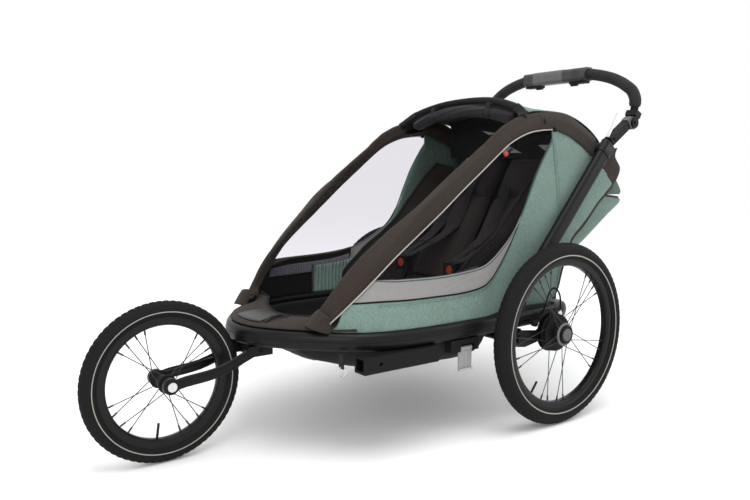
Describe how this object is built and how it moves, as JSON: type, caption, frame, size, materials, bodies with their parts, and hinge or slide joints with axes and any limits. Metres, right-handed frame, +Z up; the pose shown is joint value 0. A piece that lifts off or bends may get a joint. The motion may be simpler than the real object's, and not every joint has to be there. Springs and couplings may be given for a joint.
{
  "type": "child bicycle trailer",
  "caption": "Folding two-seat child bicycle trailer with fabric cabin on a hoop frame, sprung rear wheels, a jogger wheel on a curved fork, tow-bar socket and push handle.",
  "frame": {"origin": "on the ground, midway along the overall length and across the width", "axes": "+X forward along the length, +Y to the trailer left, +Z up"},
  "size_m": [1.642, 0.792, 1.011],
  "materials": {
    "black_plastic": "satin",
    "brown_fabric": "woven",
    "dark_fabric": "woven",
    "elastomer": "matte",
    "foam_black": "foam",
    "frame_black": "satin",
    "green_fabric": "melange",
    "grey_plastic": "satin",
    "light_grey_plastic": "satin",
    "red_plastic": "gloss",
    "rim_black": "satin",
    "ring_black": "satin",
    "rubber_tyre": "matte",
    "seat_fabric": "woven",
    "spoke_black": "dark",
    "steel": "plated",
    "tub_black": "coated",
    "webbing": "webbing",
    "window_film": "clear film"
  },
  "bodies": {
    "chassis": {"base_ring": "ring_black", "floor_tub": "tub_black", "axle_beam": "frame_black", "pivot_brackets": "frame_black", "seat_board": "black_plastic", "tow_receiver": "black_plastic", "lever_bracket": "black_plastic", "ring_strap": "webbing", "fork_bridge": "black_plastic", "jogger_fork": "frame_black", "jogger_axle": "steel", "elastomers": "elastomer", "brake_cables": "foam_black", "seat_cushions": "seat_fabric", "seat_back": "seat_fabric", "buckles": "black_plastic", "side_fabrics": "green_fabric", "side_windows": "window_film", "rear_fabric": "dark_fabric"},
    "hoop": {"hoop_front": "frame_black", "roof_bow": "black_plastic", "hoop_sleeves": "brown_fabric", "rolled_cover": "dark_fabric", "roof_fabric": "dark_fabric"},
    "posts": {"posts": "frame_black", "handle_extensions": "frame_black", "elbow_collars": "grey_plastic", "storage_bag": "green_fabric"},
    "rear_link": {"hoop_rear": "frame_black", "rear_sleeves": "brown_fabric"},
    "handle": {"handle_tube": "frame_black", "grip_foam": "foam_black", "handle_console": "grey_plastic"},
    "left_trigger": {"left_grip_trigger": "black_plastic"},
    "right_trigger": {"right_grip_trigger": "black_plastic"},
    "left_arm": {"left_swing_arm": "frame_black", "left_brake_plate": "frame_black"},
    "right_arm": {"right_swing_arm": "frame_black", "right_brake_plate": "frame_black"},
    "left_lever": {"left_brake_lever": "steel"},
    "right_lever": {"right_brake_lever": "steel"},
    "left_wheel": {"left_tyre": "rubber_tyre", "left_rim": "rim_black", "left_spokes": "spoke_black", "left_hub": "black_plastic"},
    "right_wheel": {"right_tyre": "rubber_tyre", "right_rim": "rim_black", "right_spokes": "spoke_black", "right_hub": "black_plastic"},
    "left_button": {"left_release_button": "grey_plastic"},
    "right_button": {"right_release_button": "grey_plastic"},
    "jogger_wheel": {"jogger_tyre": "rubber_tyre", "jogger_rim": "rim_black", "jogger_spokes": "spoke_black", "jogger_hub": "black_plastic"},
    "brake_pedal": {"brake_pedal": "red_plastic"},
    "lock_lever": {"lock_lever": "light_grey_plastic"},
    "d_ring": {"d_ring": "steel"},
    "left_buckle_push": {"left_buckle_button": "red_plastic"},
    "right_buckle_push": {"right_buckle_button": "red_plastic"}
  },
  "joints": [
    {"name": "roof_fold", "type": "hinge", "parent": "chassis", "child": "hoop", "pos_m": [0.318, 0, 0.322], "axis": [0, -1, 0], "range_deg": [0, 26], "deforming": ["side_fabrics", "side_windows", "rear_fabric", "roof_fabric", "seat_back"]},
    {"name": "post_fold", "type": "hinge", "parent": "chassis", "child": "posts", "pos_m": [-0.239, 0, 0.332], "axis": [0, -1, 0], "range_deg": [0, 30.37]},
    {"name": "link_fold", "type": "hinge", "parent": "posts", "child": "rear_link", "pos_m": [-0.594, 0, 0.75], "axis": [0, -1, 0], "range_deg": [-55.9, 0]},
    {"name": "handle_tilt", "type": "hinge", "parent": "posts", "child": "handle", "pos_m": [-0.715, 0, 0.826], "axis": [0, 1, 0], "range_deg": [-75, 30]},
    {"name": "left_trigger_squeeze", "type": "slide", "parent": "handle", "child": "left_trigger", "axis": [0, 0, 1], "range_m": [0, 0.004], "stiffness_N_per_m": 400},
    {"name": "right_trigger_squeeze", "type": "slide", "parent": "handle", "child": "right_trigger", "axis": [0, 0, 1], "range_m": [0, 0.004], "stiffness_N_per_m": 400},
    {"name": "left_suspension", "type": "hinge", "parent": "chassis", "child": "left_arm", "pos_m": [-0.219, 0.326, 0.24], "axis": [0, 1, 0], "range_deg": [0, 6], "stiffness_Nm_per_rad": 260, "springref_deg": -6.02, "deforming": ["brake_cables"]},
    {"name": "left_wheel_spin", "type": "hinge", "parent": "left_arm", "child": "left_wheel", "pos_m": [-0.337, 0.372, 0.247], "axis": [0, 1, 0], "continuous": true},
    {"name": "left_wheel_release", "type": "slide", "parent": "left_wheel", "child": "left_button", "axis": [0, -1, 0], "range_m": [0, 0.004], "stiffness_N_per_m": 500},
    {"name": "left_brake_swing", "type": "hinge", "parent": "left_arm", "child": "left_lever", "pos_m": [-0.371, 0.332, 0.267], "axis": [0, 1, 0], "range_deg": [0, 10]},
    {"name": "left_buckle_press", "type": "slide", "parent": "chassis", "child": "left_buckle_push", "axis": [-1, 0, 0], "range_m": [0, 0.003], "stiffness_N_per_m": 500},
    {"name": "right_suspension", "type": "hinge", "parent": "chassis", "child": "right_arm", "pos_m": [-0.219, -0.326, 0.24], "axis": [0, 1, 0], "range_deg": [0, 6], "stiffness_Nm_per_rad": 260, "springref_deg": -6.02},
    {"name": "right_wheel_spin", "type": "hinge", "parent": "right_arm", "child": "right_wheel", "pos_m": [-0.337, -0.372, 0.247], "axis": [0, 1, 0], "continuous": true},
    {"name": "right_wheel_release", "type": "slide", "parent": "right_wheel", "child": "right_button", "axis": [0, 1, 0], "range_m": [0, 0.004], "stiffness_N_per_m": 500},
    {"name": "right_brake_swing", "type": "hinge", "parent": "right_arm", "child": "right_lever", "pos_m": [-0.371, -0.332, 0.267], "axis": [0, 1, 0], "range_deg": [0, 10]},
    {"name": "right_buckle_press", "type": "slide", "parent": "chassis", "child": "right_buckle_push", "axis": [-1, 0, 0], "range_m": [0, 0.003], "stiffness_N_per_m": 500},
    {"name": "jogger_wheel_spin", "type": "hinge", "parent": "chassis", "child": "jogger_wheel", "pos_m": [0.629, 0, 0.192], "axis": [0, 1, 0], "continuous": true},
    {"name": "brake_pedal_press", "type": "hinge", "parent": "chassis", "child": "brake_pedal", "pos_m": [-0.487, 0, 0.236], "axis": [0, -1, 0], "range_deg": [0, 20]},
    {"name": "lock_lever_swing", "type": "hinge", "parent": "chassis", "child": "lock_lever", "pos_m": [-0.048, 0.303, 0.236], "axis": [1, 0, 0], "range_deg": [0, 70]},
    {"name": "d_ring_swing", "type": "hinge", "parent": "chassis", "child": "d_ring", "pos_m": [0.303, 0.262, 0.232], "axis": [1, 0, 0], "range_deg": [-60, 60]}
  ],
  "couplings": [
    {"joint": "post_fold", "follows": "roof_fold", "ratio": 1.168},
    {"joint": "link_fold", "follows": "roof_fold", "ratio": -2.15},
    {"joint": "left_brake_swing", "follows": "brake_pedal_press", "ratio": 0.5},
    {"joint": "right_brake_swing", "follows": "brake_pedal_press", "ratio": 0.5}
  ]
}
